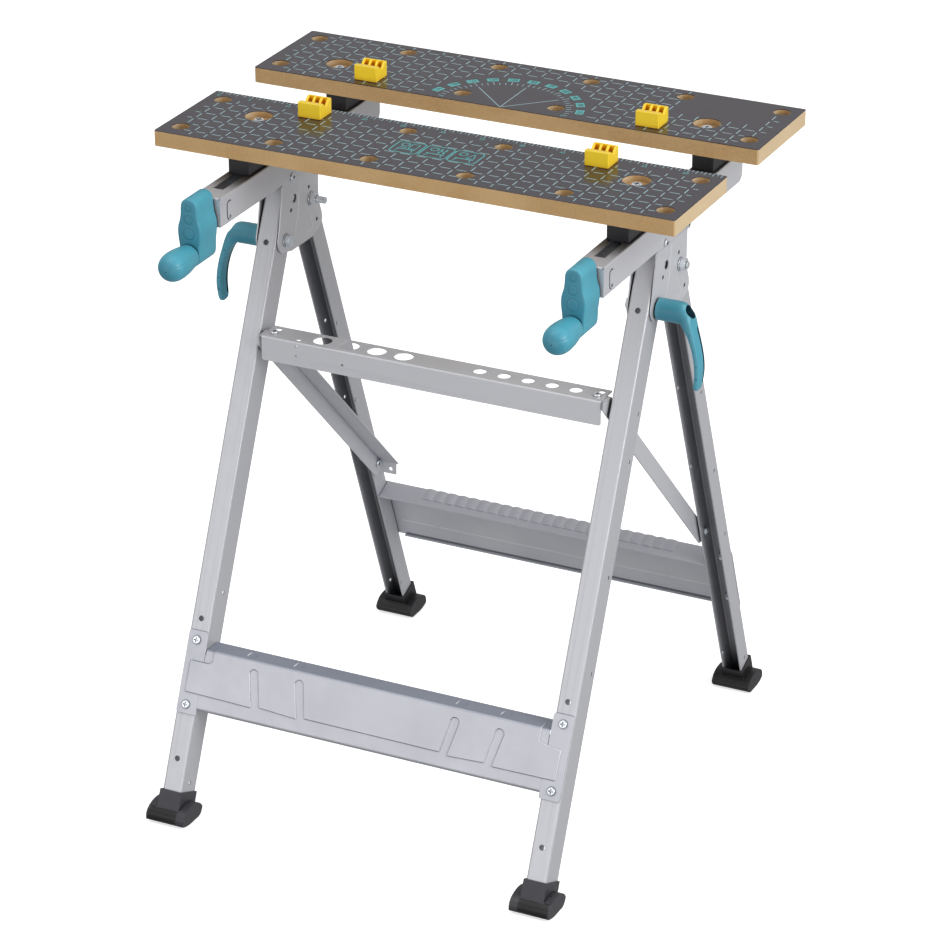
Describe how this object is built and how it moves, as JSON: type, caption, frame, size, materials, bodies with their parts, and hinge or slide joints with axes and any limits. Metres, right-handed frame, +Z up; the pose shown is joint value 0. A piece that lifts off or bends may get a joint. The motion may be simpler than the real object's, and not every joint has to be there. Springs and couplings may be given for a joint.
{
  "type": "work platform bench",
  "caption": "Folding clamping workbench: two-part worktop closed by twin crank screws, on scissor-folding channel legs with clamp levers, braces and a tool shelf.",
  "frame": {"origin": "on the floor, midway between the four feet", "axes": "+X to the user's right along the jaws, +Y away from the user, +Z up"},
  "size_m": [0.645, 0.6464, 0.8186],
  "materials": {
    "silver_paint": "fine silver-grey powder coat on folded steel sheet",
    "zinc": "bright zinc-plated steel",
    "steel": "machined steel, lightly oiled",
    "black_plastic": "moulded black plastic, fine grain",
    "teal_plastic": "moulded teal plastic, satin",
    "yellow_plastic": "moulded yellow plastic, satin",
    "board": "medium density fibreboard, dark grey printed laminate on top"
  },
  "bodies": {
    "top": {"side_beam_left": "silver_paint", "side_beam_right": "silver_paint", "rear_block_left": "black_plastic", "rear_block_right": "black_plastic", "spindle_bush_left": "black_plastic", "spindle_bush_right": "black_plastic", "tie_spacers": "zinc", "tie_screws": "zinc", "rear_pivot_studs": "zinc", "rear_pivot_nuts": "zinc", "front_pivot_bolts": "zinc", "pivot_washers": "zinc", "jaw_rear": "board", "jaw_rear_bolts": "zinc", "jaw_rear_nuts": "zinc"},
    "front_jaw": {"front_block_left": "black_plastic", "front_block_right": "black_plastic", "spindle_nut_left": "steel", "spindle_nut_right": "steel", "jaw_front": "board", "jaw_front_bolts": "zinc"},
    "front_frame": {"front_leg_left": "silver_paint", "front_leg_right": "silver_paint", "front_foot_left": "black_plastic", "front_foot_right": "black_plastic", "front_crossbar": "silver_paint", "front_bar_screws": "zinc", "front_bar_nuts": "zinc", "lock_pins": "zinc", "latch_studs": "zinc"},
    "rear_frame": {"rear_leg_left": "silver_paint", "rear_leg_right": "silver_paint", "rear_foot_left": "black_plastic", "rear_foot_right": "black_plastic", "rear_crossbar": "silver_paint", "rear_bar_screws": "zinc", "rear_bar_nuts": "zinc", "brace_pivot_screws": "zinc", "brace_pivot_nuts": "zinc"},
    "brace_unit": {"brace_left": "silver_paint", "brace_right": "silver_paint", "tool_shelf": "silver_paint", "shelf_screws": "zinc", "shelf_nuts": "zinc"},
    "crank_left": {"crank_arm_left": "teal_plastic", "spindle_left": "steel", "knob_pin_left": "steel"},
    "knob_left": {"crank_knob_left": "teal_plastic"},
    "lever_left": {"clamp_lever_left": "teal_plastic"},
    "dog_front_left": {"dog_front_left": "yellow_plastic"},
    "dog_rear_left": {"dog_rear_left": "yellow_plastic"},
    "crank_right": {"crank_arm_right": "teal_plastic", "spindle_right": "steel", "knob_pin_right": "steel"},
    "knob_right": {"crank_knob_right": "teal_plastic"},
    "lever_right": {"clamp_lever_right": "teal_plastic"},
    "dog_front_right": {"dog_front_right": "yellow_plastic"},
    "dog_rear_right": {"dog_rear_right": "yellow_plastic"}
  },
  "joints": [
    {"name": "front_fold", "type": "hinge", "parent": "top", "child": "front_frame", "pos_m": [0, -0.0205, 0.6378], "axis": [1, 0, 0], "range_deg": [0, 110]},
    {"name": "rear_fold", "type": "hinge", "parent": "top", "child": "rear_frame", "pos_m": [0, 0.043, 0.6685], "axis": [1, 0, 0], "range_deg": [0, 67]},
    {"name": "brace_swing", "type": "hinge", "parent": "rear_frame", "child": "brace_unit", "pos_m": [0, 0.204, 0.2543], "axis": [-1, 0, 0], "range_deg": [0, 23.5]},
    {"name": "front_jaw_slide", "type": "slide", "parent": "top", "child": "front_jaw", "axis": [0, 1, 0], "range_m": [-0.019, 0.0905]},
    {"name": "crank_turn_left", "type": "hinge", "parent": "top", "child": "crank_left", "pos_m": [-0.237, -0.19, 0.729], "axis": [0, 1, 0], "continuous": true},
    {"name": "knob_spin_left", "type": "hinge", "parent": "crank_left", "child": "knob_left", "pos_m": [-0.237, -0.24, 0.6885], "axis": [0, 1, 0], "continuous": true},
    {"name": "lever_turn_left", "type": "hinge", "parent": "top", "child": "lever_left", "pos_m": [-0.27, -0.0205, 0.6378], "axis": [-1, 0, 0], "range_deg": [0, 90]},
    {"name": "dog_lift_front_left", "type": "slide", "parent": "front_jaw", "child": "dog_front_left", "axis": [0, 0, 1], "range_m": [0, 0.045]},
    {"name": "dog_lift_rear_left", "type": "slide", "parent": "top", "child": "dog_rear_left", "axis": [0, 0, 1], "range_m": [0, 0.045]},
    {"name": "crank_turn_right", "type": "hinge", "parent": "top", "child": "crank_right", "pos_m": [0.237, -0.19, 0.729], "axis": [0, 1, 0], "continuous": true},
    {"name": "knob_spin_right", "type": "hinge", "parent": "crank_right", "child": "knob_right", "pos_m": [0.237, -0.24, 0.6885], "axis": [0, 1, 0], "continuous": true},
    {"name": "lever_turn_right", "type": "hinge", "parent": "top", "child": "lever_right", "pos_m": [0.27, -0.0205, 0.6378], "axis": [1, 0, 0], "range_deg": [0, 90]},
    {"name": "dog_lift_front_right", "type": "slide", "parent": "front_jaw", "child": "dog_front_right", "axis": [0, 0, 1], "range_m": [0, 0.045]},
    {"name": "dog_lift_rear_right", "type": "slide", "parent": "top", "child": "dog_rear_right", "axis": [0, 0, 1], "range_m": [0, 0.045]}
  ],
  "couplings": [
    {"joint": "rear_fold", "follows": "front_fold", "ratio": 0.6053},
    {"joint": "brace_swing", "follows": "front_fold", "ratio": 0.2088},
    {"joint": "crank_turn_left", "follows": "front_jaw_slide", "rad_per_m": 1570.8},
    {"joint": "crank_turn_right", "follows": "front_jaw_slide", "rad_per_m": 1570.8}
  ]
}
